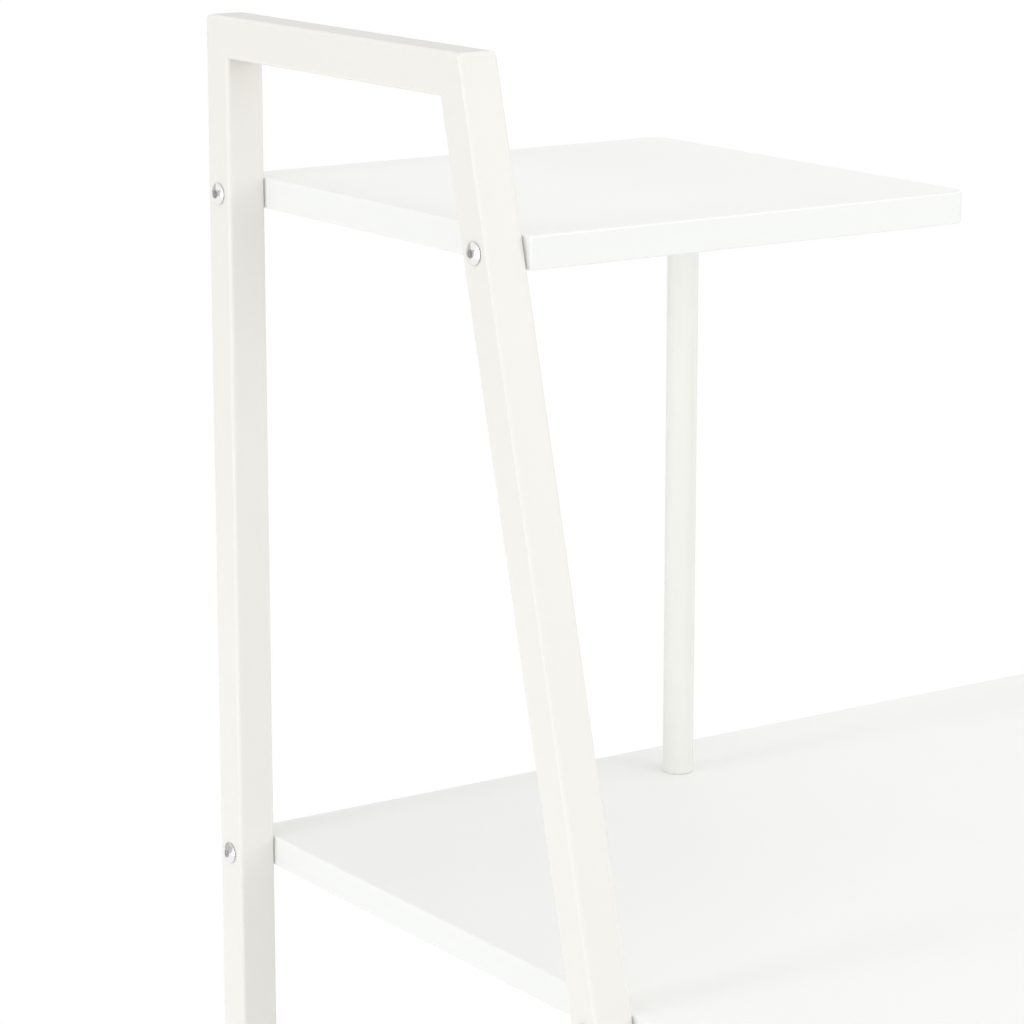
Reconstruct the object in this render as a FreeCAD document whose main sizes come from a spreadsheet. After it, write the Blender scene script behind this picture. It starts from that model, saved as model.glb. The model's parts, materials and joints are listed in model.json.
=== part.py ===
import FreeCAD, Part
import os
import re
import Sketcher

# Ladder desk: a tall and a low end frame of square tube, a desktop, three shelves and round posts.
# +X is to the right, +Y to the back and +Z up. The origin is on the floor under the middle of the desk.
# All sizes are millimetres.

SIZES = {
    # whole desk
    "overall_width": 1020,      # between the outer faces of the end frames
    "frame_height": 1170,       # top of the tall left frame
    "top_depth": 220,           # depth of the tall frame at its top
    "foot_depth": 516,          # depth of both frames at the ends of the legs
    "desk_height": 760,         # upper face of the desktop
    # square tube
    "tube_side": 20,
    "tube_wall": 1.2,
    "tube_corner": 2,           # rounding along the tube
    "mitre_round": 3,           # rounding of the frames' outer corners
    "stretcher_height": 600,    # middle of the rear cross tube
    # boards
    "desk_depth": 500,
    "desk_thickness": 15,
    "shelf_width": 250,
    "shelf_thickness": 15,
    "loop_height": 78,          # from the upper shelf's upper face to the top of the tall frame
    "lower_shelf_height": 96,   # upper face of the lower shelf
    "shelf_spacing": 332,       # from the lower shelf's upper face to the middle shelf's
    "shelf_overhang": 6,        # a shelf's top front edge stands this far before the front leg
    "board_corner": 10,         # rounding of the boards' free corners, seen from above
    "band_thickness": 1,        # edge bands
    "band_round": 0.8,
    # round posts
    "post_diameter": 16,
    "post_wall": 1.2,
    "post_end_round": 0.7,
    "post_side_inset": 15,      # post's middle from the free end of the shelf
    "post_rear_inset": 42,      # post's middle from the rear edge
    "post_front_inset": 42,     # front column's middle from the middle shelf's front edge
    "post_plug_length": 15,
    # bolts, studs and sleeves
    "bolt_diameter": 6,
    "bolt_head_diameter": 10.5,
    "bolt_head_height": 2.4,
    "bolt_head_rim": 0.7,       # height of the head's straight side
    "bolt_head_edge": 0.3,      # rounding under the head
    "bolt_grip": 16,            # length of bolt beyond the tube
    "thread_chamfer": 0.8,
    "socket_width": 4,
    "socket_depth": 2,
    "end_bolt_inset": 60,       # low frame's bolts from the corners of its top bar
    "sleeve_diameter": 9,
    "sleeve_length": 14,
    "blind_sleeve_length": 11,
    "stud_engagement": 12,
    # levelling feet
    "pad_diameter": 20,
    "pad_neck_diameter": 13,
    "pad_height": 8,
    "pad_rim": 4.5,             # height of the pad's straight side
    "pad_socket": 5,            # depth of the stem in the pad
    "pad_edge": 0.8,
    "pad_gap": 0.5,             # left between pad and plug when the foot is screwed in
    "foot_travel": 8,
    "stem_engagement": 12,
    "plug_flange": 2,
    "plug_depth": 20,
    # clearances
    "fit_gap": 0.05,            # sleeves, plugs and threads, at the radius
    "hole_gap": 0.25,           # bolts through plain holes, at the radius
    "end_gap": 0.5,             # beyond the end of a bolt, stud or stem
}

doc = FreeCAD.newDocument("ladder_desk")
sheet = doc.addObject("Spreadsheet::Sheet", "Sizes")
for row, (alias, value) in enumerate(SIZES.items(), start=1):
    sheet.set(f"A{row}", alias.replace("_", " "))
    sheet.set(f"B{row}", str(value))
    sheet.setAlias(f"B{row}", alias)
doc.recompute()

nodes = []
NEAR = 0.001    # places closer than this are the same


# Expressions on the sheet

def bound(text):
    """Expression for FreeCAD: every size named in the text gets the sheet's name before it."""
    return re.sub(r"[a-z_]+", lambda word: "Sizes." + word[0] if word[0] in SIZES else word[0], text)


def number(text):
    return float(sheet.evalExpression(bound(text)))


BACK = "(foot_depth / 2)"
OUTER = "(overall_width / 2)"
INNER = "(overall_width / 2 - tube_side)"
PLUG_FOOT = "(pad_height + pad_gap + foot_travel)"
LEG_END = f"({PLUG_FOOT} + plug_flange)"
SLOPE = f"((foot_depth - top_depth) / (frame_height - {LEG_END}))"
SLANT = f"sqrt(1 + {SLOPE} ^ 2)"
FRONT_MITRE = f"({SLANT} - {SLOPE})"
SQUARE_MITRE = "1"
BOLT_RADIUS = "(bolt_diameter / 2)"
THREAD_BORE = "(bolt_diameter / 2 + fit_gap)"
PLAIN_HOLE = "(bolt_diameter / 2 + hole_gap)"
TUBE_BORE = "(tube_side - 2 * tube_wall)"
POST_BORE = "(post_diameter / 2 - post_wall)"
CORE_CORNER = "(board_corner - band_thickness)"

UPPER_TOP = "(frame_height - loop_height)"
MIDDLE_TOP = "(lower_shelf_height + shelf_spacing)"
LOWER_TOP = "lower_shelf_height"


def front_face(z):
    """Y of the front legs' front face at a height."""
    return f"({BACK} - top_depth - {SLOPE} * (frame_height - {z}))"


def front_middle(z):
    return f"({front_face(z)} + tube_side * {SLANT} / 2)"


def shelf_front(top):
    return f"({front_face(top)} - shelf_overhang)"


SHELF_RIGHT = f"(shelf_width - {INNER})"
POST_X = f"({SHELF_RIGHT} - post_side_inset)"
REAR_POST_Y = f"({BACK} - post_rear_inset)"
FRONT_POST_Y = f"({shelf_front(MIDDLE_TOP)} + post_front_inset)"
REAR_LEG_Y = f"({BACK} - tube_side / 2)"


# Sketches and features

def new_body(name):
    return doc.addObject("PartDesign::Body", name)


def new_sketch(body, name, plane, offset="0"):
    """Sketch on one of the body's own planes, moved along the plane's normal."""
    sketch = body.newObject("Sketcher::SketchObject", name)
    support = [feature for feature in body.Origin.OriginFeatures if feature.Role == plane][0]
    sketch.AttachmentSupport = (support, [""])
    sketch.MapMode = "FlatFace"
    sketch.setExpression("AttachmentOffset.Base.z", bound(offset))
    return sketch


def bind(sketch, constraint, text):
    index = sketch.addConstraint(constraint)
    sketch.setExpression(f"Constraints[{index}]", bound(text))


def draw_outline(sketch, corners):
    """Closed outline, counter-clockwise. A corner (x, y, radius, centre) ends a side that is an arc."""
    points = [FreeCAD.Vector(number(corner[0]), number(corner[1]), 0) for corner in corners]
    count = len(corners)
    for side in range(count):
        start = points[side]
        end = points[(side + 1) % count]
        target = corners[(side + 1) % count]
        if len(target) == 2:
            sketch.addGeometry(Part.LineSegment(start, end))
            continue
        centre = FreeCAD.Vector(number(target[3][0]), number(target[3][1]), 0)
        circle = Part.Circle(centre, FreeCAD.Vector(0, 0, 1), number(target[2]))
        sketch.addGeometry(Part.ArcOfCircle(circle, circle.parameter(start), circle.parameter(end)))
    for side in range(count):
        sketch.addConstraint(Sketcher.Constraint("Coincident", side, 2, (side + 1) % count, 1))
    for side, corner in enumerate(corners):
        bind(sketch, Sketcher.Constraint("DistanceX", -1, 1, side, 1, points[side].x), corner[0])
        bind(sketch, Sketcher.Constraint("DistanceY", -1, 1, side, 1, points[side].y), corner[1])
        if len(corner) > 2:
            arc = (side - 1) % count
            bind(sketch, Sketcher.Constraint("Radius", arc, number(corner[2])), corner[2])


def draw_rectangle(sketch, left, low, right, high):
    draw_outline(sketch, [(left, low), (right, low), (right, high), (left, high)])


def draw_circle(sketch, x, y, radius):
    centre = FreeCAD.Vector(number(x), number(y), 0)
    circle = sketch.addGeometry(Part.Circle(centre, FreeCAD.Vector(0, 0, 1), number(radius)))
    bind(sketch, Sketcher.Constraint("DistanceX", -1, 1, circle, 3, centre.x), x)
    bind(sketch, Sketcher.Constraint("DistanceY", -1, 1, circle, 3, centre.y), y)
    bind(sketch, Sketcher.Constraint("Radius", circle, number(radius)), radius)


def pad(body, sketch, length, side="One side"):
    feature = body.newObject("PartDesign::Pad", "pad")
    feature.Profile = sketch
    feature.SideType = side
    feature.setExpression("Length", bound(length))
    doc.recompute()


def pocket(body, sketch, length, side="One side", along_normal=False):
    """Cuts the sketch out of the body and makes sure that material went."""
    before = body.Shape.Volume
    feature = body.newObject("PartDesign::Pocket", "pocket")
    feature.Profile = sketch
    feature.SideType = side
    feature.Reversed = along_normal
    feature.setExpression("Length", bound(length))
    doc.recompute()
    if body.Shape.Volume >= before:
        raise RuntimeError(f"{body.Name}: a pocket cut nothing")


def round_edges(body, radius, wanted):
    """Rounds the edges that the wanted function picks."""
    base = body.Tip
    names = [f"Edge{i}" for i, edge in enumerate(base.Shape.Edges, start=1) if wanted(edge)]
    feature = body.newObject("PartDesign::Fillet", "rounding")
    feature.Base = (base, names)
    feature.setExpression("Radius", bound(radius))
    doc.recompute()


def revolve(body, corners):
    """Turned piece: an outline of radius and height, turned about the upright axis."""
    sketch = new_sketch(body, "half_section", "XZ_Plane")
    draw_outline(sketch, corners)
    feature = body.newObject("PartDesign::Revolution", "turned")
    feature.Profile = sketch
    feature.ReferenceAxis = (sketch, ["V_Axis"])
    doc.recompute()


def place(piece, x="0", y="0", z="0"):
    piece.setExpression("Placement.Base.x", bound(x))
    piece.setExpression("Placement.Base.y", bound(y))
    piece.setExpression("Placement.Base.z", bound(z))


def keep(piece, label):
    piece.Label = label
    nodes.append(piece)


def keep_group(label, members):
    group = doc.addObject("Part::Compound", label + "_group")
    group.Links = members
    keep(group, label)


def copies(master, places, turn=0):
    """Copies of one piece at several places, turned about Y."""
    links = []
    for x, y, z in places:
        link = doc.addObject("App::Link", master.Name + "_copy")
        link.LinkedObject = master
        link.Placement.Rotation = FreeCAD.Rotation(FreeCAD.Vector(0, 1, 0), turn)
        place(link, x, y, z)
        links.append(link)
    return links


LEFT = -90
RIGHT = 90


# End frames: tubes with mitred and rounded corners, drawn from the side

def mitre_inset(mitre):
    """How far the rounding takes the outer corner in, along both tubes, for a mitre's run over its rise."""
    return f"(mitre_round * (1 - 1 / sqrt({mitre} ^ 2 + 1)))"


def square_tube(label, x, outline, bore, holes, long_side):
    """Tube with rounded edges: outline and bore are drawn on the side, holes go across it."""
    body = new_body(label)
    sketch = new_sketch(body, "outline", "YZ_Plane")
    draw_outline(sketch, outline)
    pad(body, sketch, "tube_side", "Symmetric")
    half = number("tube_side / 2")
    shortest = number(long_side)

    def along_tube(edge):
        on_side = all(abs(abs(vertex.X) - half) < NEAR for vertex in edge.Vertexes)
        flat = abs(edge.Vertexes[0].X - edge.Vertexes[-1].X) < NEAR
        return on_side and flat and (edge.Length > shortest or isinstance(edge.Curve, Part.Circle))

    round_edges(body, "tube_corner", along_tube)
    sketch = new_sketch(body, "bore", "YZ_Plane")
    draw_outline(sketch, bore)
    pocket(body, sketch, TUBE_BORE, "Symmetric")
    if holes:
        sketch = new_sketch(body, "bolt_holes", "YZ_Plane")
        for y, z in holes:
            draw_circle(sketch, y, z, PLAIN_HOLE)
        pocket(body, sketch, "2 * tube_side", "Symmetric")
    place(body, x=x)
    keep(body, label)


def end_frame(side, x, top, leg_holes, front_holes, bar_holes):
    corner = front_face(top)
    rear_in = mitre_inset(SQUARE_MITRE)
    front_in = mitre_inset(FRONT_MITRE)
    tangent = f"(mitre_round * {FRONT_MITRE})"
    rear_centre = (f"{BACK} - mitre_round", f"{top} - mitre_round")
    front_centre = (f"{corner} + {tangent}", f"{top} - mitre_round")
    rear_inside = (f"{BACK} - tube_side", f"{top} - tube_side")
    front_inside = (f"{corner} + tube_side * {FRONT_MITRE}", f"{top} - tube_side")
    rear_mitre = (f"{BACK} - {rear_in}", f"{top} - {rear_in}")
    front_mitre = (f"{corner} + {front_in} * {FRONT_MITRE}", f"{top} - {front_in}")
    below = f"({LEG_END} - tube_side)"
    above = f"({top} + tube_side)"
    wall = f"(tube_wall * {SLANT})"
    far_wall = f"((tube_side - tube_wall) * {SLANT})"
    longest_end = f"2 * tube_side * {SLANT}"

    square_tube(f"{side}_rear_leg", x, [
        (f"{BACK} - tube_side", LEG_END),
        (BACK, LEG_END),
        (BACK, f"{top} - mitre_round"),
        (*rear_mitre, "mitre_round", rear_centre),
        rear_inside,
    ], [
        (f"{BACK} - tube_side + tube_wall", below),
        (f"{BACK} - tube_wall", below),
        (f"{BACK} - tube_wall", above),
        (f"{BACK} - tube_side + tube_wall", above),
    ], leg_holes, longest_end)

    square_tube(f"{side}_front_leg", x, [
        (front_face(LEG_END), LEG_END),
        (f"{front_face(LEG_END)} + tube_side * {SLANT}", LEG_END),
        front_inside,
        front_mitre,
        (f"{corner} - {tangent} * {SLOPE} / {SLANT}", f"{top} - {tangent} / {SLANT}",
         "mitre_round", front_centre),
    ], [
        (f"{front_face(below)} + {wall}", below),
        (f"{front_face(below)} + {far_wall}", below),
        (f"{front_face(above)} + {far_wall}", above),
        (f"{front_face(above)} + {wall}", above),
    ], front_holes, longest_end)

    square_tube(f"{side}_top_bar", x, [
        rear_inside,
        rear_mitre,
        (f"{BACK} - mitre_round", top, "mitre_round", rear_centre),
        (f"{corner} + {tangent}", top),
        (*front_mitre, "mitre_round", front_centre),
        front_inside,
    ], [
        (f"{corner} - tube_side", f"{top} - tube_side + tube_wall"),
        (f"{BACK} + tube_side", f"{top} - tube_side + tube_wall"),
        (f"{BACK} + tube_side", f"{top} - tube_wall"),
        (f"{corner} - tube_side", f"{top} - tube_wall"),
    ], bar_holes, longest_end)


def board_middle(top, thickness):
    return f"({top} - {thickness} / 2)"


DESK_MIDDLE = board_middle("desk_height", "desk_thickness")
SHELF_MIDDLES = [board_middle(top, "shelf_thickness") for top in (UPPER_TOP, MIDDLE_TOP, LOWER_TOP)]
BOARD_MIDDLES = [DESK_MIDDLE] + SHELF_MIDDLES
STRETCHER = (REAR_LEG_Y, "stretcher_height")
BAR_BOLTS = [(f"({BACK} - end_bolt_inset)", DESK_MIDDLE),
             (f"({front_face('desk_height')} + end_bolt_inset)", DESK_MIDDLE)]
REAR_BOLTS = [(REAR_LEG_Y, z) for z in BOARD_MIDDLES]
FRONT_BOLTS = [(front_middle(z), z) for z in BOARD_MIDDLES]

LEFT_X = f"(tube_side / 2 - {OUTER})"
RIGHT_X = f"({OUTER} - tube_side / 2)"
end_frame("left", LEFT_X, "frame_height", REAR_BOLTS + [STRETCHER], FRONT_BOLTS, [])
end_frame("right", RIGHT_X, "desk_height", [STRETCHER], [], BAR_BOLTS)


# Rear stretcher and the threaded plugs in its ends

def rear_stretcher():
    body = new_body("rear_stretcher")
    half = "(tube_side / 2)"
    sketch = new_sketch(body, "section", "YZ_Plane")
    draw_rectangle(sketch, f"-{half}", f"-{half}", half, half)
    pad(body, sketch, f"2 * {INNER}", "Symmetric")
    longest_end = number("2 * tube_side")
    round_edges(body, "tube_corner", lambda edge: edge.Length > longest_end)
    bore = f"({TUBE_BORE} / 2)"
    sketch = new_sketch(body, "bore", "YZ_Plane")
    draw_rectangle(sketch, f"-{bore}", f"-{bore}", bore, bore)
    pocket(body, sketch, f"2 * {INNER} + tube_side", "Symmetric")
    place(body, y=REAR_LEG_Y, z="stretcher_height")
    keep(body, "rear_stretcher")


def stretcher_nuts():
    body = new_body("stretcher_nut")
    half = f"({TUBE_BORE} / 2 - fit_gap)"
    sketch = new_sketch(body, "section", "YZ_Plane")
    draw_rectangle(sketch, f"-{half}", f"-{half}", half, half)
    pad(body, sketch, "sleeve_length", "Symmetric")
    sketch = new_sketch(body, "thread", "YZ_Plane")
    draw_circle(sketch, "0", "0", THREAD_BORE)
    pocket(body, sketch, "2 * sleeve_length", "Symmetric")
    inset = f"({INNER} - sleeve_length / 2)"
    keep_group("stretcher_nuts", copies(body, [(f"-{inset}", *STRETCHER), (inset, *STRETCHER)]))


rear_stretcher()
stretcher_nuts()


# Boards with their edge bands

FREE_CORNERS = {"left": ("front_right", "rear_right"), "rear": ("front_left", "front_right")}


def draw_board(sketch, left, front, right, back, free, radius):
    """Rectangle seen from above, counter-clockwise, with its free corners rounded."""
    corners = []
    for name, x, y, x_inwards, y_inwards in (("front_left", left, front, "+", "+"),
                                             ("front_right", right, front, "-", "+"),
                                             ("rear_right", right, back, "-", "-"),
                                             ("rear_left", left, back, "+", "-")):
        if name not in free:
            corners.append((x, y))
            continue
        centre = (f"({x} {x_inwards} {radius})", f"({y} {y_inwards} {radius})")
        on_front_or_rear = (centre[0], y)
        on_end = (x, centre[1])
        leaves_by_end = name in ("front_right", "rear_left")
        first, last = (on_front_or_rear, on_end) if leaves_by_end else (on_end, on_front_or_rear)
        corners += [first, (*last, radius, centre)]
    draw_outline(sketch, corners)


def board(label, right, front, top, thickness, held_side, left_bolts, right_bolts, through, blind):
    """Coated board from the left frame to its right end and from front to back, with its edge bands.

    One band wraps the three sides round the free corners, and a straight one closes the held side.
    """
    left = f"(-{INNER})"
    low = f"({top} - {thickness})"
    free = FREE_CORNERS[held_side]
    core = (f"{left} + band_thickness", f"{front} + band_thickness",
            f"{right} - band_thickness", f"{BACK} - band_thickness")
    body = new_body(label)
    sketch = new_sketch(body, "outline", "XY_Plane")
    draw_board(sketch, *core, free, CORE_CORNER)
    pad(body, sketch, thickness)
    sleeve_hole = "(sleeve_diameter / 2 + fit_gap)"
    depth = "bolt_grip + end_gap"
    for name, x, bolts, inwards in (("left_end", core[0], left_bolts, True),
                                    ("right_end", core[2], right_bolts, False)):
        if bolts:
            sketch = new_sketch(body, name, "YZ_Plane", x)
            for y in bolts:
                draw_circle(sketch, y, f"{thickness} / 2", sleeve_hole)
            pocket(body, sketch, depth, along_normal=inwards)
    for name, posts, radius, hole in (("stud_holes", through, PLAIN_HOLE, thickness),
                                      ("blind_holes", blind, sleeve_hole, "blind_sleeve_length + fit_gap")):
        if posts:
            sketch = new_sketch(body, name, "XY_Plane")
            for x, y in posts:
                draw_circle(sketch, x, y, radius)
            pocket(body, sketch, hole, along_normal=True)
    place(body, z=low)
    keep(body, label)

    inner_left, inner_front, inner_right, inner_back = core
    if held_side == "left":
        inside = (f"{left} - band_thickness", inner_front, inner_right, inner_back)
        closing = (left, inner_front, inner_left, inner_back)
    else:
        inside = (inner_left, inner_front, inner_right, f"{BACK} + band_thickness")
        closing = (inner_left, inner_back, inner_right, BACK)
    wrapped = new_body(label + "_wrapped_band")
    sketch = new_sketch(wrapped, "outline", "XY_Plane")
    draw_board(sketch, left, front, right, BACK, free, "board_corner")
    pad(wrapped, sketch, thickness)
    sketch = new_sketch(wrapped, "inside", "XY_Plane")
    draw_board(sketch, *inside, free, CORE_CORNER)
    pocket(wrapped, sketch, thickness, along_normal=True)
    straight = new_body(label + "_straight_band")
    sketch = new_sketch(straight, "outline", "XY_Plane")
    draw_rectangle(sketch, *closing)
    pad(straight, sketch, thickness)
    left_band = straight if held_side == "left" else wrapped
    drill_band(left_band, f"({left} + {inner_left}) / 2", left_bolts, thickness)
    drill_band(wrapped, f"({inner_right} + {right}) / 2", right_bolts, thickness)
    outside = [number(text) for text in (left, front, right, BACK)]
    for band in (wrapped, straight):
        round_band(band, outside, number(thickness))
        place(band, z=low)
    keep_group(label + "_edge_bands", [wrapped, straight])


def drill_band(band, x, bolts, thickness):
    """Holes for the frame bolts through the band at one end of a board."""
    if bolts:
        sketch = new_sketch(band, "bolt_holes", "YZ_Plane", x)
        for y in bolts:
            draw_circle(sketch, y, f"{thickness} / 2", PLAIN_HOLE)
        pocket(band, sketch, "4 * band_thickness", "Symmetric")


def round_band(band, outside, thickness):
    """Rounds a band's edges where two outer faces of its board meet, round the free corners too."""
    left, front, right, back = outside
    corner = number("board_corner")

    def on_two_faces(edge):
        middle = edge.BoundBox.Center
        spans = edge.BoundBox.XLength, edge.BoundBox.YLength, edge.BoundBox.ZLength
        faces = [
            spans[0] < NEAR and min(abs(middle.x - left), abs(middle.x - right)) < NEAR,
            spans[1] < NEAR and min(abs(middle.y - front), abs(middle.y - back)) < NEAR,
            spans[2] < NEAR and min(abs(middle.z), abs(middle.z - thickness)) < NEAR,
        ]
        if isinstance(edge.Curve, Part.Circle):
            return faces[2] and abs(edge.Curve.Radius - corner) < NEAR
        return sum(faces) == 2

    round_edges(band, "band_round", on_two_faces)


REAR_POST = (POST_X, REAR_POST_Y)
FRONT_POST = (POST_X, FRONT_POST_Y)
board("desktop", INNER, f"({BACK} - desk_depth)", "desk_height", "desk_thickness", "rear",
      [REAR_LEG_Y, front_middle(DESK_MIDDLE)], [y for y, z in BAR_BOLTS], [REAR_POST], [FRONT_POST])
for label, top, through, blind in (("upper_shelf", UPPER_TOP, [], [REAR_POST]),
                                   ("middle_shelf", MIDDLE_TOP, [REAR_POST, FRONT_POST], []),
                                   ("lower_shelf", LOWER_TOP, [REAR_POST, FRONT_POST], [])):
    middle = board_middle(top, "shelf_thickness")
    board(label, SHELF_RIGHT, shelf_front(top), top, "shelf_thickness", "left",
          [REAR_LEG_Y, front_middle(middle)], [], through, blind)


# Round posts with a threaded plug in each end

def tube_post(label, x, y, low, high):
    """Round tube whose outer edges are rounded at both ends."""
    body = new_body(label)
    outer = "(post_diameter / 2)"
    shoulder = f"({outer} - post_end_round)"
    length = f"({high} - {low})"
    revolve(body, [
        (POST_BORE, "0"),
        (shoulder, "0"),
        (outer, "post_end_round", "post_end_round", (shoulder, "post_end_round")),
        (outer, f"{length} - post_end_round"),
        (shoulder, length, "post_end_round", (shoulder, f"{length} - post_end_round")),
        (POST_BORE, length),
    ])
    place(body, x, y, low)
    keep(body, label)


def sleeve(name, outer, length):
    """Plain threaded sleeve that stands on its lower end."""
    body = new_body(name)
    revolve(body, [(THREAD_BORE, "0"), (outer, "0"), (outer, length), (THREAD_BORE, length)])
    return body


def stud(name, length):
    """Threaded rod with both ends chamfered, centred on its length."""
    body = new_body(name)
    half = f"({length}) / 2"
    neck = f"{BOLT_RADIUS} - thread_chamfer"
    revolve(body, [("0", f"-{half}"), (neck, f"-{half}"), (BOLT_RADIUS, f"thread_chamfer - {half}"),
                   (BOLT_RADIUS, f"{half} - thread_chamfer"), (neck, half), ("0", half)])
    return body


DESK_UNDER = "(desk_height - desk_thickness)"
UPPER_UNDER = f"({UPPER_TOP} - shelf_thickness)"
MIDDLE_UNDER = f"({MIDDLE_TOP} - shelf_thickness)"
LOWER_UNDER = f"({LOWER_TOP} - shelf_thickness)"
POSTS = [
    ("upper_post", REAR_POST, "desk_height", UPPER_UNDER),
    ("rear_post_middle", REAR_POST, MIDDLE_TOP, DESK_UNDER),
    ("rear_post_lower", REAR_POST, LOWER_TOP, MIDDLE_UNDER),
    ("rear_post_foot", REAR_POST, PLUG_FOOT, LOWER_UNDER),
    ("front_post_middle", FRONT_POST, MIDDLE_TOP, DESK_UNDER),
    ("front_post_lower", FRONT_POST, LOWER_TOP, MIDDLE_UNDER),
    ("front_post_foot", FRONT_POST, PLUG_FOOT, LOWER_UNDER),
]
plug_places = []
for label, column, low, high in POSTS:
    tube_post(label, *column, low, high)
    plug_places += [(*column, low), (*column, f"{high} - post_plug_length")]
post_plug = sleeve("post_plug", f"{POST_BORE} - fit_gap", "post_plug_length")
keep_group("post_end_plugs", copies(post_plug, plug_places))

shelf_stud = stud("shelf_stud", "shelf_thickness + 2 * stud_engagement")
desk_stud = stud("desk_stud", "desk_thickness + 2 * stud_engagement")
shelf_stud_places = [(*column, z) for z in SHELF_MIDDLES[1:] for column in (REAR_POST, FRONT_POST)]
keep_group("through_studs", copies(shelf_stud, shelf_stud_places)
           + copies(desk_stud, [(*REAR_POST, DESK_MIDDLE)]))

BLIND_PLACES = [(*REAR_POST, UPPER_UNDER), (*FRONT_POST, DESK_UNDER)]
blind_sleeve = sleeve("blind_sleeve", "sleeve_diameter / 2", "blind_sleeve_length")
keep_group("blind_sleeves", copies(blind_sleeve, BLIND_PLACES))
blind_stud = stud("blind_stud", "blind_sleeve_length - end_gap + stud_engagement")
rise = "(blind_sleeve_length - end_gap - stud_engagement) / 2"
keep_group("blind_studs", copies(blind_stud, [(x, y, f"{z} + {rise}") for x, y, z in BLIND_PLACES]))


# Frame bolts with domed heads, and the threaded sleeves in the board ends

def frame_bolt():
    """Bolt that points up, with its head's flat underside at the origin."""
    body = new_body("frame_bolt")
    head = "(bolt_head_diameter / 2)"
    under = f"({head} - bolt_head_edge)"
    rise = "(bolt_head_height - bolt_head_rim)"
    dome = f"(({head} ^ 2 + {rise} ^ 2) / (2 * {rise}))"
    tip = "(-tube_side - bolt_grip)"
    revolve(body, [
        ("0", tip),
        (f"{BOLT_RADIUS} - thread_chamfer", tip),
        (BOLT_RADIUS, f"{tip} + thread_chamfer"),
        (BOLT_RADIUS, "0"),
        (under, "0"),
        (head, "bolt_head_edge", "bolt_head_edge", (under, "bolt_head_edge")),
        (head, "bolt_head_rim"),
        ("0", "bolt_head_height", dome, ("0", f"bolt_head_height - {dome}")),
    ])
    sketch = new_sketch(body, "hexagon_socket", "XY_Plane", "bolt_head_height")
    corner = "(socket_width / sqrt(3))"
    flat = "(socket_width / 2)"
    draw_outline(sketch, [(corner, "0"), (f"{corner} / 2", flat), (f"-{corner} / 2", flat),
                          (f"-{corner}", "0"), (f"-{corner} / 2", f"-{flat}"), (f"{corner} / 2", f"-{flat}")])
    pocket(body, sketch, "socket_depth")
    return body


bolt = frame_bolt()
left_bolt_places = [(f"-{OUTER}", y, z) for y, z in REAR_BOLTS + FRONT_BOLTS + [STRETCHER]]
right_bolt_places = [(OUTER, y, z) for y, z in BAR_BOLTS + [STRETCHER]]
keep_group("left_frame_bolts", copies(bolt, left_bolt_places, LEFT))
keep_group("right_frame_bolts", copies(bolt, right_bolt_places, RIGHT))

end_sleeve = sleeve("end_sleeve", "sleeve_diameter / 2", "sleeve_length")
SLEEVE_X = f"({INNER} - band_thickness)"
left_sleeves = [(f"-{SLEEVE_X}", y, z) for y, z in REAR_BOLTS + FRONT_BOLTS]
right_sleeves = [(SLEEVE_X, y, z) for y, z in BAR_BOLTS]
keep_group("board_end_sleeves", copies(end_sleeve, left_sleeves, RIGHT)
           + copies(end_sleeve, right_sleeves, LEFT))


# Plugs in the leg ends

FOOT_MIDDLE = f"({PLUG_FOOT} + stem_engagement / 2)"
FRONT_FOOT_Y = front_middle(FOOT_MIDDLE)


def leg_plug(name, face, across, bore_y):
    """Flanged plug; face gives the leg's front face at a height, across its run along Y per unit of tube."""
    body = new_body(name)
    end = face(LEG_END)
    sketch = new_sketch(body, "flange", "YZ_Plane")
    draw_rectangle(sketch, end, PLUG_FOOT, f"{end} + tube_side * {across}", LEG_END)
    pad(body, sketch, "tube_side", "Symmetric")
    flange = number("plug_flange")
    round_edges(body, "tube_corner", lambda edge: abs(edge.BoundBox.ZLength - flange) < NEAR)
    top = f"({LEG_END} + plug_depth)"
    near = f"(tube_wall + fit_gap) * {across}"
    far = f"(tube_side - tube_wall - fit_gap) * {across}"
    sketch = new_sketch(body, "plug", "YZ_Plane")
    draw_outline(sketch, [(f"{end} + {near}", LEG_END), (f"{end} + {far}", LEG_END),
                          (f"{face(top)} + {far}", top), (f"{face(top)} + {near}", top)])
    pad(body, sketch, f"{TUBE_BORE} - 2 * fit_gap", "Symmetric")
    sketch = new_sketch(body, "thread", "XY_Plane", PLUG_FOOT)
    draw_circle(sketch, "0", bore_y, THREAD_BORE)
    pocket(body, sketch, "stem_engagement + foot_travel + end_gap", along_normal=True)
    return body


rear_plug = leg_plug("rear_leg_plug", lambda z: f"({BACK} - tube_side)", "1", REAR_LEG_Y)
front_plug = leg_plug("front_leg_plug", front_face, SLANT, FRONT_FOOT_Y)
LEG_SIDES = [(LEFT_X, "0", "0"), (RIGHT_X, "0", "0")]
keep_group("rear_leg_plugs", copies(rear_plug, LEG_SIDES))
keep_group("front_leg_plugs", copies(front_plug, LEG_SIDES))


# Levelling feet: a pad and a threaded stem at each leg and under each post column

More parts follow.
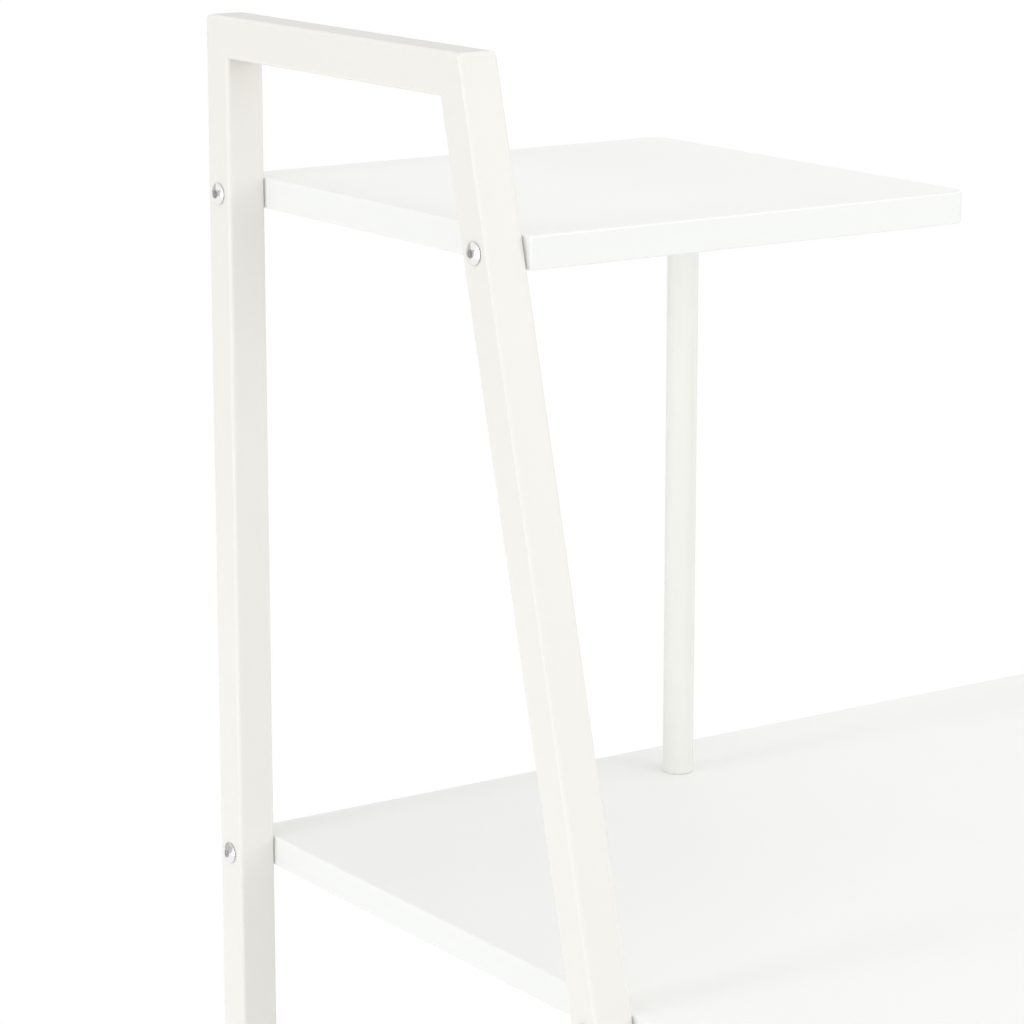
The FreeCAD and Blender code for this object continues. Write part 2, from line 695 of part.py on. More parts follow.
def levelling_foot(label, x, y):
    pad_radius = "pad_diameter / 2"
    neck = "pad_neck_diameter / 2"
    seat = "pad_height - pad_socket"
    socket = THREAD_BORE
    body = new_body(label + "_pad")
    revolve(body, [
        ("0", "0"),
        (f"{pad_radius} - pad_edge", "0"),
        (pad_radius, "pad_edge", "pad_edge", (f"{pad_radius} - pad_edge", "pad_edge")),
        (pad_radius, "pad_rim"),
        (neck, "pad_height"),
        (socket, "pad_height"),
        (socket, seat),
        ("0", seat),
    ])
    place(body, x, y)
    keep(body, label + "_pad")
    stem = stud(label + "_stem", f"{PLUG_FOOT} + stem_engagement - ({seat})")
    place(stem, x, y, f"({PLUG_FOOT} + stem_engagement + {seat}) / 2")
    keep(stem, label + "_stem")


FEET = [
    ("left_rear_foot", LEFT_X, REAR_LEG_Y),
    ("left_front_foot", LEFT_X, FRONT_FOOT_Y),
    ("right_rear_foot", RIGHT_X, REAR_LEG_Y),
    ("right_front_foot", RIGHT_X, FRONT_FOOT_Y),
    ("rear_column_foot", *REAR_POST),
    ("front_column_foot", *FRONT_POST),
]
for label, x, y in FEET:
    levelling_foot(label, x, y)


# Checks and files

doc.recompute()
failed = [item.Name for item in doc.Objects if "Invalid" in item.State or "Error" in item.State]
if failed:
    raise RuntimeError("failed objects: " + ", ".join(failed))
for piece in nodes:
    if piece.Shape.isNull() or not piece.Shape.isValid() or not piece.Shape.Solids:
        raise RuntimeError("bad shape: " + piece.Label)

os.makedirs("parts", exist_ok=True)
for piece in nodes:
    piece.Shape.exportStep(f"parts/{piece.Label}.step")

box = FreeCAD.BoundBox()
for piece in nodes:
    box.add(piece.Shape.optimalBoundingBox())
print(f"{len(nodes)} nodes, {sum(len(piece.Shape.Solids) for piece in nodes)} solids")
print(f"box {box.XLength:.2f} x {box.YLength:.2f} x {box.ZLength:.2f}, low corner",
      f"{box.XMin:.2f} {box.YMin:.2f} {box.ZMin:.2f}")
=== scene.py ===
# %% [markdown]
# A ladder desk, dressed for its picture
#
# The desk comes in as a finished construction: tubes, boards, posts, bolts and feet, each a node at its
# real place and size, in metres. This script never moves them. It gives every surface its finish, adds
# the fine forms that are quicker to make in Blender than in a CAD program, and sets up the camera and
# the light.

# %% Load the construction
import json
import math

import bpy
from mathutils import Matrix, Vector

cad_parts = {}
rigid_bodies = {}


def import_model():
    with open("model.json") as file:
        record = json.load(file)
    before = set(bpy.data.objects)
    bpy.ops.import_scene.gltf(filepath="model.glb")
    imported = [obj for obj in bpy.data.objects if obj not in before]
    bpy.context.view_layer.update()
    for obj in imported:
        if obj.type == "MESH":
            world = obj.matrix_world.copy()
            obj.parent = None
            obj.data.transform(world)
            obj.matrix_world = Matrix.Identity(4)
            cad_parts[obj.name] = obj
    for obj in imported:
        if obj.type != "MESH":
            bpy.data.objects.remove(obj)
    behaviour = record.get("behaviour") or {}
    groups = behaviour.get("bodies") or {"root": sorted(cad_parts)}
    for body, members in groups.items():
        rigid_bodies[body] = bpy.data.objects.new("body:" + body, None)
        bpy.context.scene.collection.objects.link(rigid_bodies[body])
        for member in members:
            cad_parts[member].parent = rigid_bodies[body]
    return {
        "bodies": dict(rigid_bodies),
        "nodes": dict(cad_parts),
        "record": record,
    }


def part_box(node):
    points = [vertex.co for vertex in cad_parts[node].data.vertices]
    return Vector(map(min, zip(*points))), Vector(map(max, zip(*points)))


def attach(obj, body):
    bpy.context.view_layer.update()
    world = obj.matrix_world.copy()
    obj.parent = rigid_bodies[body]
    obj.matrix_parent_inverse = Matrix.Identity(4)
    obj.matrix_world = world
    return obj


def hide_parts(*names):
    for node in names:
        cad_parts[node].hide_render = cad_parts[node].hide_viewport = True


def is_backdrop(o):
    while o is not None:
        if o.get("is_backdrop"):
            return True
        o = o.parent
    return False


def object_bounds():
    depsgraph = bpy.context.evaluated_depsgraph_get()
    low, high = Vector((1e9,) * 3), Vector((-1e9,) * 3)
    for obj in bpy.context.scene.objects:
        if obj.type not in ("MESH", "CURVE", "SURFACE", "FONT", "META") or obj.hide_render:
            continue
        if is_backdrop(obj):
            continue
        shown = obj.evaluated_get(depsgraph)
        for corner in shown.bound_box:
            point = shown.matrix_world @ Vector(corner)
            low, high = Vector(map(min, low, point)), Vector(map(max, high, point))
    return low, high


MM = 0.001

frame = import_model()
nodes = frame["nodes"]
cad_low, cad_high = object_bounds()


def add_to_scene(name, data):
    """A new object in the scene, at the origin."""
    made = bpy.data.objects.new(name, data)
    bpy.context.scene.collection.objects.link(made)
    return made


# %% [markdown]
# Camera
#
# The photograph is a close view of the upper left part of the desk. The camera stands in front of the
# left end, a little above the tall frame, and looks down along the desk. A camera can be placed by eye
# in the viewport, but here its place is given by numbers, so that the script always frames the desk in
# the same way. The long lens keeps the sides of the boards nearly parallel, as they are in the
# photograph.

# %% Camera
CAMERA_LEFT = 886 * MM      # from the outer face of the left frame
CAMERA_FRONT = 1565 * MM    # from the back of the desk
CAMERA_RISE = 169 * MM      # above the tall frame
CAMERA_TURN = 34.19         # degrees from straight ahead towards the right
CAMERA_DIP = 12.96          # degrees down
CAMERA_LENS = 131.3         # focal length in mm
SENSOR_WIDTH = 36           # mm

left_low, left_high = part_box("left_rear_leg")
camera = add_to_scene("camera", bpy.data.cameras.new("camera"))
camera.location = (left_low.x - CAMERA_LEFT, left_high.y - CAMERA_FRONT, left_high.z + CAMERA_RISE)
camera.rotation_euler = (math.radians(90 - CAMERA_DIP), 0, math.radians(-CAMERA_TURN))
camera.data.sensor_width = SENSOR_WIDTH
camera.data.lens = CAMERA_LENS
bpy.context.scene.camera = camera
print("camera at", [round(place, 3) for place in camera.location])


# %% [markdown]
# Shader maths as sums
#
# A finish is a small network of nodes. Adding nodes and links one by one makes long scripts, so one
# class wraps a socket: a sum such as 1 - mask adds the Math node that works it out, and one method adds
# any other node. The same class also serves the geometry networks further down, because both kinds of
# network share the Math node.

# %% Wires between nodes
NODE_SPACING = 200          # from node to node in the node editor


class Wire:
    """A socket in a node tree. Sums of wires and numbers add Math nodes to the tree."""

    def __init__(self, tree, socket=None):
        self.tree = tree
        self.socket = socket

    def node(self, kind, settings=None, inputs=None, output=0):
        """Adds a node: its settings first, then a value or a wire on each input. Gives one output."""
        made = self.tree.nodes.new(kind)
        made.location.x = NODE_SPACING * len(self.tree.nodes)
        for name, value in (settings or {}).items():
            setattr(made, name, value)
        for name, value in (inputs or {}).items():
            self.into(made.inputs[name], value)
        return Wire(self.tree, made.outputs[output])

    def into(self, socket, value):
        """Links a wire to a socket, or sets a plain value on it."""
        if isinstance(value, Wire):
            self.tree.links.new(value.socket, socket)
        else:
            socket.default_value = value

    def math(self, operation, first, second=0.0):
        return self.node("ShaderNodeMath", {"operation": operation}, {0: first, 1: second})

    def __add__(self, other):
        return self.math("ADD", self, other)

    def __sub__(self, other):
        return self.math("SUBTRACT", self, other)

    def __rsub__(self, other):
        return self.math("SUBTRACT", other, self)

    def __mul__(self, other):
        return self.math("MULTIPLY", self, other)

    def __truediv__(self, other):
        return self.math("DIVIDE", self, other)

    __radd__ = __add__
    __rmul__ = __mul__


# %% [markdown]
# Floor and background
#
# The photograph's background is plain white. More light would also bleach the desk, so the white is
# painted instead: rays from the camera, and mirrored or refracted ones, see a white world. The floor is
# a large disc with a pale matt finish. Close to the desk it is lit like everything else and keeps the
# desk's shadow. Further out, what the camera sees fades into the same white, so no horizon shows.

# %% Stage pieces: the common start
WHITE = (1, 1, 1, 1)


def bare_material(name):
    """A material with no shader yet, a wire in its network, and the socket that its shader goes to."""
    material = bpy.data.materials.new(name)
    material.use_nodes = True
    tree = material.node_tree
    tree.nodes.remove(tree.nodes["Principled BSDF"])
    return material, Wire(tree), tree.nodes["Material Output"].inputs["Surface"]


def circle(radius, height, sides):
    """Points on a level circle round the desk."""
    turns = (2 * math.pi * side / sides for side in range(sides))
    return [(radius * math.cos(turn), radius * math.sin(turn), height) for turn in turns]


def seen_directly(wire):
    """1 for rays from the camera and for mirrored or refracted rays, 0 for rays that only carry light."""
    straight = wire.node("ShaderNodeLightPath", output="Is Camera Ray")
    rays = straight.socket.node.outputs
    mirrored = Wire(wire.tree, rays["Is Glossy Ray"])
    refracted = Wire(wire.tree, rays["Is Transmission Ray"])
    return wire.math("MAXIMUM", straight, wire.math("MAXIMUM", mirrored, refracted))


# %% Background
WORLD_LIGHT = 0.80          # what the white surroundings give as light


def white_world():
    world = bpy.data.worlds.new("white_surroundings")
    world.use_nodes = True
    background = world.node_tree.nodes["Background"]
    wire = Wire(world.node_tree)
    wire.into(background.inputs["Color"], WHITE)
    wire.into(background.inputs["Strength"], WORLD_LIGHT + (1 - WORLD_LIGHT) * seen_directly(wire))
    bpy.context.scene.world = world


white_world()
bpy.context.scene.view_settings.view_transform = "Standard"
print(f"white surroundings that light with a strength of {WORLD_LIGHT}")

# %% Floor
FLOOR_RADIUS = 6.0
FLOOR_SIDES = 96
FLOOR_GAP = 0.2 * MM        # the floor lies this far below the feet
FLOOR_TONE = (0.9, 0.9, 0.9, 1)
FLOOR_LIFT = 0.12           # white added to what is seen, so that the lit floor reaches the background
FADE_START = 0.8            # from the middle of the desk
FADE_END = 1.5


def floor_finish():
    material, wire, surface = bare_material("pale_floor")
    place = wire.node("ShaderNodeTexCoord", output="Object")
    distance = wire.node("ShaderNodeVectorMath", {"operation": "LENGTH"}, {0: place}, "Value")
    far = wire.node("ShaderNodeMapRange", {"interpolation_type": "SMOOTHSTEP"},
                    {"Value": distance, "From Min": FADE_START, "From Max": FADE_END})
    seen = seen_directly(wire)
    matt = wire.node("ShaderNodeBsdfDiffuse", inputs={"Color": FLOOR_TONE})
    lift = wire.node("ShaderNodeEmission", inputs={"Color": WHITE, "Strength": seen * FLOOR_LIFT})
    lit = wire.node("ShaderNodeAddShader", inputs={0: matt, 1: lift})
    white = wire.node("ShaderNodeEmission", inputs={"Color": WHITE})
    wire.into(surface, wire.node("ShaderNodeMixShader", inputs={0: seen * far, 1: lit, 2: white}))
    return material


def floor_disc():
    mesh = bpy.data.meshes.new("floor")
    mesh.from_pydata(circle(FLOOR_RADIUS, -FLOOR_GAP, FLOOR_SIDES), [], [range(FLOOR_SIDES)])
    mesh.materials.append(floor_finish())
    floor = add_to_scene("floor", mesh)
    floor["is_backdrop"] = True


floor_disc()
print(f"floor disc of {FLOOR_RADIUS} m, white from {FADE_END} m out")


# %% [markdown]
# Light
#
# White on white shows its shape only by small steps of tone, so the light must be soft but not equal
# from all sides. Four panels stand round the desk as softboxes would in a studio. The left one lights
# the outer faces of the frame and draws a bright stripe on the bolt heads and along the rounded edges of
# the tubes. The front one lights the faces that look forward, and a smaller one at the front right makes
# the post's soft shadow on the desktop. Both are kept out of mirrored rays, or the front leg and the
# desktop would flare. The one overhead lights the boards.

# %% Light
PANELS = {
    # name: place, width, height, power in watts, whether it shows in mirrored rays
    "left_panel": ((-3.0, 0.2, 1.1), 0.5, 2.2, 19.5, True),
    "front_panel": ((-0.4, -3.0, 1.3), 1.6, 1.6, 13, False),
    "front_right_panel": ((1.35, -2.65, 1.75), 0.65, 1.35, 14, False),
    "overhead_panel": ((0.2, -0.3, 3.0), 2.4, 2.4, 9.7, True),
}
LIT_POINT = Vector((0, 0, 0.65))    # all panels face it

for name, (place, width, height, power, mirrored) in PANELS.items():
    lamp = bpy.data.lights.new(name, "AREA")
    lamp.shape = "RECTANGLE"
    lamp.size = width
    lamp.size_y = height
    lamp.energy = power
    panel = add_to_scene(name, lamp)
    panel.visible_glossy = mirrored
    panel.location = place
    panel.rotation_euler = (LIT_POINT - panel.location).to_track_quat("-Z", "Y").to_euler()
    print(f"{name}: {power} W")


# %% [markdown]
# Grey ring
#
# White things in a white room lose their edges. So a grey ring, like a low wall of card, stands far
# round the desk, and only mirrored rays see it: where the camera looks along a face at a very flat
# angle, as on top of the tall frame or over the desktop, the face turns a little grey and its edge can
# be read. The bolt heads also show it as a band. The ring throws no shadow and takes no light away.

# %% Grey ring
RING_RADIUS = 4.5
RING_HEIGHT = 2.1
RING_SIDES = 64
RING_TONE = 0.58


def grey_ring():
    material, wire, surface = bare_material("grey_ring")
    wire.into(surface, wire.node("ShaderNodeEmission", inputs={"Color": WHITE, "Strength": RING_TONE}))

    points = circle(RING_RADIUS, 0, RING_SIDES) + circle(RING_RADIUS, RING_HEIGHT, RING_SIDES)
    neighbours = [(side, (side + 1) % RING_SIDES) for side in range(RING_SIDES)]
    walls = [(side, after, RING_SIDES + after, RING_SIDES + side) for side, after in neighbours]
    mesh = bpy.data.meshes.new("grey_ring")
    mesh.from_pydata(points, [], walls)
    mesh.materials.append(material)
    ring = add_to_scene("grey_ring", mesh)
    ring.visible_camera = False
    ring.visible_diffuse = False
    ring.visible_transmission = False
    ring.visible_shadow = False
    ring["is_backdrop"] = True


grey_ring()
print(f"grey ring of {RING_RADIUS} m round the desk")


# %% [markdown]
# Powder coat
#
# The tubes and posts are sprayed with powder that melts in an oven. It leaves a white with a fine
# pebbled skin, like the peel of an orange. An image could give that skin, but noise needs no image and
# has no seams. It reads Object coordinates, which are the desk's own metres, so a scale of so many waves
# per metre is a real size. The skin is bump, the gloss varies a little with it, and a slow cloud keeps
# long tubes from looking like one flat colour. The photograph shows two whites: the square tubes are a
# warm satin, the round posts are cooler and duller. One function makes both.

# %% Finishes: the common start
# The Mix node has sockets for each kind of value, and these are the ones for colours.
MIX_SHARE = 0
MIX_FIRST = 6
MIX_SECOND = 7
MIX_RESULT = 2


def new_finish(name, **constants):
    """A material with one Principled shader. Constants are set on the shader's own sockets."""
    material = bpy.data.materials.new(name)
    material.use_nodes = True
    shader = material.node_tree.nodes["Principled BSDF"]
    for socket, value in constants.items():
        shader.inputs[socket.replace("_", " ")].default_value = value
    wire = Wire(material.node_tree)
    place = wire.node("ShaderNodeTexCoord", output="Object")
    return material, shader.inputs, wire, place


def noise(wire, place, size, detail=2.0):
    """Noise from 0 to 1 whose patches are about as large as the size."""
    return wire.node("ShaderNodeTexNoise", inputs={"Vector": place, "Scale": 1 / size, "Detail": detail})


def mix(wire, share, first, second):
    """A colour between two, by a share from 0 to 1. A colour is a wire or a red, a green and a blue."""
    first, second = (colour if isinstance(colour, Wire) else (*colour, 1) for colour in (first, second))
    sockets = {MIX_SHARE: share, MIX_FIRST: first, MIX_SECOND: second}
    return wire.node("ShaderNodeMix", {"data_type": "RGBA"}, sockets, MIX_RESULT)


def bump(wire, height, depth):
    """A normal for a surface whose height goes from 0 to 1 over a real depth."""
    return wire.node("ShaderNodeBump", inputs={"Strength": 1.0, "Distance": depth, "Height": height})


# %% Powder coat
PEEL_SIZE = 1.8 * MM
PEEL_DEPTH = 0.009 * MM
CLOUD_SIZE = 180 * MM
COAT_VARIES = 0.03          # roughness added at most by the skin, and as much again by the cloud


def powder_coat(name, dark, light, roughness):
    material, sockets, wire, place = new_finish(name, IOR=1.48)
    peel = noise(wire, place, PEEL_SIZE, detail=0.0)
    cloud = noise(wire, place, CLOUD_SIZE)
    wire.into(sockets["Base Color"], mix(wire, cloud, dark, light))
    wire.into(sockets["Roughness"], roughness + COAT_VARIES * peel + COAT_VARIES * cloud)
    wire.into(sockets["Normal"], bump(wire, peel, PEEL_DEPTH))
    return material


tube_coat = powder_coat("warm_white_coat", roughness=0.205,
                        dark=(0.802, 0.788, 0.747), light=(0.822, 0.808, 0.768))
post_coat = powder_coat("cool_white_coat", roughness=0.50,
                        dark=(0.786, 0.791, 0.755), light=(0.806, 0.812, 0.776))
print(f"two powder coats with a skin of {PEEL_SIZE / MM:.1f} mm")


# %% [markdown]
# Coated board and edge bands
#
# The boards are chipboard between two pressed sheets of white melamine paper. The press plate gives the
# sheets a very fine pearl grain. The edges are closed with plastic bands, 1 mm thick, in a slightly
# cooler white, and a scraper drawn along them leaves faint lines along their length. The grain is noise
# in all directions; the lines are noise that is stretched sideways by a Mapping node, so that mainly the
# height of a point counts. On the rounded upper corner of a band a lighter tone is painted as a
# highlight. All boards stand the same distance apart, so one remainder after dividing by that distance
# tells how far a point lies above the underside of its own board.

# %% Coated board
GRAIN_SIZE = 0.7 * MM
GRAIN_DEPTH = 0.006 * MM
SHEEN_SIZE = 60 * MM
BOARD_DETAIL = 3.0          # of both noises
BOARD_DARK = (0.900, 0.899, 0.882)
BOARD_LIGHT = (0.919, 0.918, 0.902)
SHEEN_SHARE = 0.7           # of the sheen in the tone
GRAIN_SHARE = 0.3           # of the grain in the tone
BOARD_ROUGHNESS = 0.48
SHEEN_VARIES = 0.08         # roughness added at most by the sheen
GRAIN_VARIES = 0.10         # roughness added at most by the grain


def coated_board():
    material, sockets, wire, place = new_finish("white_melamine", IOR=1.46, Specular_IOR_Level=0.25)
    grain = noise(wire, place, GRAIN_SIZE, BOARD_DETAIL)
    sheen = noise(wire, place, SHEEN_SIZE, BOARD_DETAIL)
    share = SHEEN_SHARE * sheen + GRAIN_SHARE * grain
    wire.into(sockets["Base Color"], mix(wire, share, BOARD_DARK, BOARD_LIGHT))
    wire.into(sockets["Roughness"], BOARD_ROUGHNESS + SHEEN_VARIES * sheen + GRAIN_VARIES * grain)
    wire.into(sockets["Normal"], bump(wire, grain, GRAIN_DEPTH))
    return material


board_face = coated_board()
print(f"melamine with a grain of {GRAIN_SIZE / MM:.1f} mm")

# %% Edge bands
SCRAPE_SIZE = 0.5 * MM
SCRAPE_DEPTH = 0.008 * MM
SCRAPE_STRETCH = 0.01       # lines are this much slower along the band than across it
BAND_DARK = (0.830, 0.841, 0.826)
BAND_LIGHT = (0.844, 0.855, 0.839)
BAND_ROUGHNESS = 0.40
SCRAPE_VARIES = 0.10        # roughness added at most by the lines
# painted highlight: a lighter tone on the rounded upper corner of each band
PAINTED_HIGHLIGHT_HEIGHT = 0.8 * MM     # height of the rounded upper corner
PAINTED_HIGHLIGHT_TONE = (0.898, 0.903, 0.888)
UNDER = 1 * MM              # heights are counted from this far below a board

board_low, board_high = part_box("lower_shelf")
board_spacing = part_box("middle_shelf")[0].z - board_low.z


def painted_highlight_share(wire, place):
    """Where the painted highlight goes: 1 on the rounded upper corner of a band, 0 below it."""
    height = wire.node("ShaderNodeSeparateXYZ", inputs={0: place}, output="Z")
    above = wire.math("FLOORED_MODULO", height - (board_low.z - UNDER), board_spacing)
    top = board_high.z - board_low.z + UNDER
    return wire.node("ShaderNodeMapRange", inputs={
        "Value": above, "From Min": top - PAINTED_HIGHLIGHT_HEIGHT, "From Max": top - PAINTED_HIGHLIGHT_HEIGHT / 4})


def edge_band():
    material, sockets, wire, place = new_finish("white_edge_band", IOR=1.5)
    stretch = (SCRAPE_STRETCH, SCRAPE_STRETCH, 1)
    drawn = wire.node("ShaderNodeMapping", inputs={"Vector": place, "Scale": stretch})
    lines = noise(wire, drawn, SCRAPE_SIZE)
    side = mix(wire, lines, BAND_DARK, BAND_LIGHT)
    # the lighter tone on the rounded upper corner is a painted highlight
    wire.into(sockets["Base Color"], mix(wire, painted_highlight_share(wire, place), side, PAINTED_HIGHLIGHT_TONE))
    wire.into(sockets["Roughness"], BAND_ROUGHNESS + SCRAPE_VARIES * lines)
    wire.into(sockets["Normal"], bump(wire, lines, SCRAPE_DEPTH))
    return material


board_edge = edge_band()
print(f"edge bands on boards that stand {board_spacing / MM:.0f} mm apart")


# %% [markdown]
# Plated steel and moulded plastic
#
# The studs, sleeves and stems are zinc plated, which is dull and slightly patchy. Bolt heads are bright
# plated, so their domes are nearly mirrors with a few fine scratches. The rim by the frame and the
# socket are rougher, and a darker tone is painted on them as shade in the gap under the head and down
# in the socket. The shader tells them apart by the distance from the frame's outer face, which is the X
# of the Object coordinates. The plugs and foot pads are moulded from plastic with a fine matt texture.

# %% Plated steel
SCRATCH_SIZE = 0.35 * MM
PATCH_SIZE = 6 * MM
ZINC_DARK = (0.58, 0.59, 0.60)
ZINC_LIGHT = (0.70, 0.71, 0.71)
ZINC_ROUGHNESS = 0.26
ZINC_VARIES = 0.18          # roughness added at most by scratches


def zinc_plating():
    material, sockets, wire, place = new_finish("zinc_plating", Metallic=1.0)
    scratch = noise(wire, place, SCRATCH_SIZE)
    patch = noise(wire, place, PATCH_SIZE)
    wire.into(sockets["Base Color"], mix(wire, patch, ZINC_DARK, ZINC_LIGHT))
    wire.into(sockets["Roughness"], ZINC_ROUGHNESS + ZINC_VARIES * scratch)
    return material


zinc = zinc_plating()
print(f"zinc plating with patches of {PATCH_SIZE / MM:.0f} mm")

# %% Bolt heads
# up to the first height below, the head is rougher and painted darker as shade; from the second it is the
# bright dome
DULL_AND_SHADED_TO = 0.6 * MM          # above the frame's outer face
BRIGHT_FROM = 0.9 * MM
# painted shade: the darker tone of the rim by the frame and of the socket
RIM_PAINTED_SHADE_TONE = (0.64, 0.64, 0.63)
DOME_TONE = (0.88, 0.88, 0.87)
RIM_ROUGHNESS = 0.34
DOME_POLISH = 0.20          # the dome is this much smoother than the rim
HEAD_VARIES = 0.04          # roughness added at most by scratches


def bolt_head():
    """Bright on the dome; rougher and painted darker as shade on the rim by the frame and down in the
    socket.
    """
    material, sockets, wire, place = new_finish("bright_plating", Metallic=1.0)
    across = wire.node("ShaderNodeSeparateXYZ", inputs={0: place}, output="X")
    rise = wire.math("ABSOLUTE", across) - abs(left_low.x)
    dome = wire.node("ShaderNodeMapRange", inputs={
        "Value": rise, "From Min": DULL_AND_SHADED_TO, "From Max": BRIGHT_FROM})
    scratch = noise(wire, place, SCRATCH_SIZE)
    # the darker rim tone is painted shade on the rim and in the socket
    wire.into(sockets["Base Color"], mix(wire, dome, RIM_PAINTED_SHADE_TONE, DOME_TONE))
    wire.into(sockets["Roughness"], RIM_ROUGHNESS - DOME_POLISH * dome + HEAD_VARIES * scratch)
    return material


bright_bolt = bolt_head()
print(f"bolt heads, bright from {BRIGHT_FROM / MM:.1f} mm above the frame")

# %% Moulded plastic
MOULD_GRAIN = 0.4 * MM
MOULD_DEPTH = 0.015 * MM
MOULD_ROUGHNESS = 0.42
MOULD_VARIES = 0.14         # roughness added at most by the grain


def moulded_plastic(name, dark, light):
    material, sockets, wire, place = new_finish(name, IOR=1.49)
    grain = noise(wire, place, MOULD_GRAIN)
    wire.into(sockets["Base Color"], mix(wire, grain, dark, light))
    wire.into(sockets["Roughness"], MOULD_ROUGHNESS + MOULD_VARIES * grain)
    wire.into(sockets["Normal"], bump(wire, grain, MOULD_DEPTH))
    return material


plug_plastic = moulded_plastic("white_plug_plastic", dark=(0.83, 0.83, 0.82), light=(0.86, 0.86, 0.85))
foot_plastic = moulded_plastic("white_foot_plastic", dark=(0.78, 0.78, 0.77), light=(0.82, 0.82, 0.81))
print(f"two plastics with a grain of {MOULD_GRAIN / MM:.1f} mm")


# %% [markdown]
# Dressing the nodes
#
# The record names a material slot for every node, so one table from slot to finish dresses the whole
# desk. The round posts share their slot with the square tubes, and get the cooler coat by their names.

# %% Dress the nodes
FINISHES = {
    "powder_coat": tube_coat,
    "coated_board": board_face,
    "edge_band": board_edge,
    "plated_bolt": bright_bolt,
    "plated_steel": zinc,
    "plug_plastic": plug_plastic,
    "foot_plastic": foot_plastic,
}

for part in frame["record"]["subparts"]:
    slots = nodes[part["node"]].data.materials
    slots.clear()
    slots.append(post_coat if "_post" in part["node"] else FINISHES[part["material_slot"]])
print(f"{len(FINISHES)} finishes and a coat for the posts on {len(nodes)} nodes")


# %% [markdown]
# Threaded stems
#
# Under each leg and post column a foot screws in and out on a threaded stem. A thread is a rule, not a
# shape to draw: the radius of a point depends only on its height and on its angle round the axis. So a
# geometry network starts from a plain cylinder with many rings and pulls each point inwards by a wave
# that climbs one pitch with every turn. The result is kept as a plain mesh, one for each foot, because
# each foot moves by itself.

# %% Geometry networks: inputs and results
def new_tree(name, **inputs):
    """A geometry network with named inputs. Gives the tree and a wire for each input."""
    tree = bpy.data.node_groups.new(name, "GeometryNodeTree")
    tree.interface.new_socket("Geometry", in_out="OUTPUT", socket_type="NodeSocketGeometry")
    for label, kind in inputs.items():
        tree.interface.new_socket(label, in_out="INPUT", socket_type="NodeSocket" + kind)
    entry = tree.nodes.new("NodeGroupInput")
    wires = {label: Wire(tree, entry.outputs[label]) for label in inputs}
    return tree, wires


def end_tree(geometry, material):
    """Ends a network: real geometry in place of instances, one material, and the output."""
    real = geometry.node("GeometryNodeRealizeInstances", inputs={0: geometry})
    painted = geometry.node("GeometryNodeSetMaterial", inputs={"Geometry": real, "Material": material})
    exit_node = geometry.tree.nodes.new("NodeGroupOutput")
    geometry.into(exit_node.inputs[0], painted)


def grow(name, tree, values):
    """Runs a network on an empty mesh and keeps what it makes as a plain mesh."""
    piece = add_to_scene(name, bpy.data.meshes.new(name + "_start"))
    modifier = piece.modifiers.new("grow", "NODES")
    modifier.node_group = tree
    for item in tree.interface.items_tree:
        if item.in_out == "INPUT":
            modifier[item.identifier] = values[item.name]
    depsgraph = bpy.context.evaluated_depsgraph_get()
    made = bpy.data.meshes.new_from_object(piece.evaluated_get(depsgraph), depsgraph=depsgraph)
    piece.modifiers.remove(modifier)
    piece.data = made
    made.name = name
    return piece


# %% Threaded stems
THREAD_PITCH = 1.0 * MM
THREAD_DEPTH = 0.55 * MM
RINGS_PER_PITCH = 10
THREAD_SIDES = 48


def thread_tree():
    tree, wires = new_tree("screw_thread", Foot="Vector", Radius="Float", Length="Float", Rings="Int",
                           Pitch="Float", Depth="Float", Material="Material")
    wire = Wire(tree)
    rod = wire.node("GeometryNodeMeshCylinder", inputs={
        "Vertices": THREAD_SIDES, "Side Segments": wires["Rings"],
        "Radius": wires["Radius"], "Depth": wires["Length"]})
    place = wire.node("GeometryNodeInputPosition")
    axes = wire.node("ShaderNodeSeparateXYZ", inputs={0: place}).socket.node.outputs
    x, y, z = (Wire(tree, axes[name]) for name in "XYZ")
    turn = wire.math("ARCTAN2", y, x)
    # from 0 on the crest to -1 in the groove
    wave = wire.math("COSINE", z * (2 * math.pi) / wires["Pitch"] - turn) * 0.5 - 0.5
    outwards = wire.node("ShaderNodeVectorMath", {"operation": "NORMALIZE"},
                         {0: wire.node("ShaderNodeCombineXYZ", inputs={"X": x, "Y": y})})
    pull = wire.node("ShaderNodeVectorMath", {"operation": "SCALE"},
                     {0: outwards, "Scale": wave * wires["Depth"]})
    cut = wire.node("GeometryNodeSetPosition", inputs={"Geometry": rod, "Offset": pull})
    smooth = wire.node("GeometryNodeSetShadeSmooth", inputs={"Geometry": cut})
    placed = wire.node("GeometryNodeTransform", inputs={
        "Geometry": smooth, "Translation": wires["Foot"]})
    end_tree(placed, wires["Material"])
    return tree


FEET = [body for body in frame["bodies"] if body.endswith("_foot")]
threads = thread_tree()
for foot in FEET:
    low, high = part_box(foot + "_stem")
    length = high.z - low.z
    stem = grow(foot + "_thread", threads, {
        "Foot": (low + high) / 2, "Radius": (high.x - low.x) / 2, "Length": length,
        "Rings": round(length / THREAD_PITCH * RINGS_PER_PITCH),
        "Pitch": THREAD_PITCH, "Depth": THREAD_DEPTH, "Material": FINISHES["plated_steel"]})
    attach(stem, foot)
    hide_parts(foot + "_stem")
print(f"{len(FEET)} threaded stems, {len(stem.data.polygons)} faces each")


# %% [markdown]
# Grip ribs on the feet
#
# A levelling foot is turned by hand, so the rim of its pad has small upright ribs. The same rib stands
# all round the rim: points on a circle, and one rounded rod on each point. Doing this by hand would take
# a copy for every rib; the network needs one rib and a count.

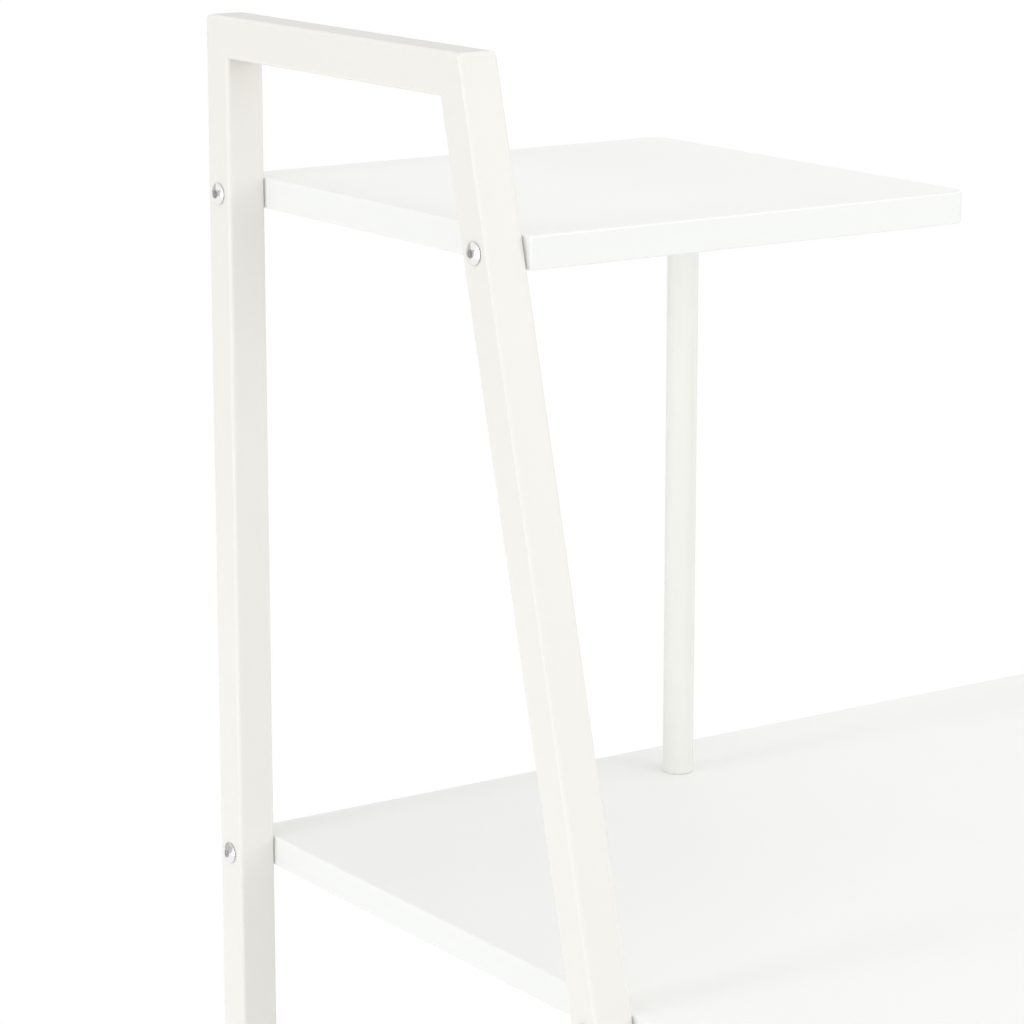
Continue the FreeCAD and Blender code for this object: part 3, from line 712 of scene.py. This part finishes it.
# %% Grip ribs
RIB_COUNT = 28
RIB_RADIUS = 0.55 * MM
RIB_HEIGHT = 3.4 * MM
RIB_SEGMENTS = 10           # faces round one rib
RIB_RINGS = 8               # rows of faces along one rib
RIB_PROUD = 0.3 * MM        # how far a rib stands out of the rim
RIB_LOW = 0.9 * MM          # lower end of the ribs above the floor


def rib_tree():
    tree, wires = new_tree("grip_ribs", Middle="Vector", Radius="Float", Count="Int",
                           Material="Material")
    wire = Wire(tree)
    ring = wire.node("GeometryNodeMeshCircle", inputs={
        "Vertices": wires["Count"], "Radius": wires["Radius"]})
    ball = wire.node("GeometryNodeMeshUVSphere", inputs={
        "Segments": RIB_SEGMENTS, "Rings": RIB_RINGS, "Radius": RIB_RADIUS})
    longer = RIB_HEIGHT / 2 / RIB_RADIUS
    rod = wire.node("GeometryNodeTransform", inputs={"Geometry": ball, "Scale": (1, 1, longer)})
    smooth = wire.node("GeometryNodeSetShadeSmooth", inputs={"Geometry": rod})
    ribs = wire.node("GeometryNodeInstanceOnPoints", inputs={"Points": ring, "Instance": smooth})
    placed = wire.node("GeometryNodeTransform", inputs={
        "Geometry": ribs, "Translation": wires["Middle"]})
    end_tree(placed, wires["Material"])
    return tree


ribs = rib_tree()
for foot in FEET:
    low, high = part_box(foot + "_pad")
    middle = (low + high) / 2
    grip = grow(foot + "_grip", ribs, {
        "Middle": (middle.x, middle.y, low.z + RIB_LOW + RIB_HEIGHT / 2),
        "Radius": (high.x - low.x) / 2 + RIB_PROUD - RIB_RADIUS, "Count": RIB_COUNT,
        "Material": FINISHES["foot_plastic"]})
    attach(grip, foot)
print(f"{RIB_COUNT} ribs on each of {len(FEET)} pads")


# %% [markdown]
# Sizes and the end
#
# Dressing must not make the desk larger. The last line prints how far the box of what is shown now
# reaches beyond the box of the construction, along each axis, in mm.

# %% Sizes and the end
low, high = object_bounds()
grown = [max(cad_low[i] - low[i], high[i] - cad_high[i]) for i in range(3)]
print("grown by", [round(length / MM, 2) for length in grown], "mm")
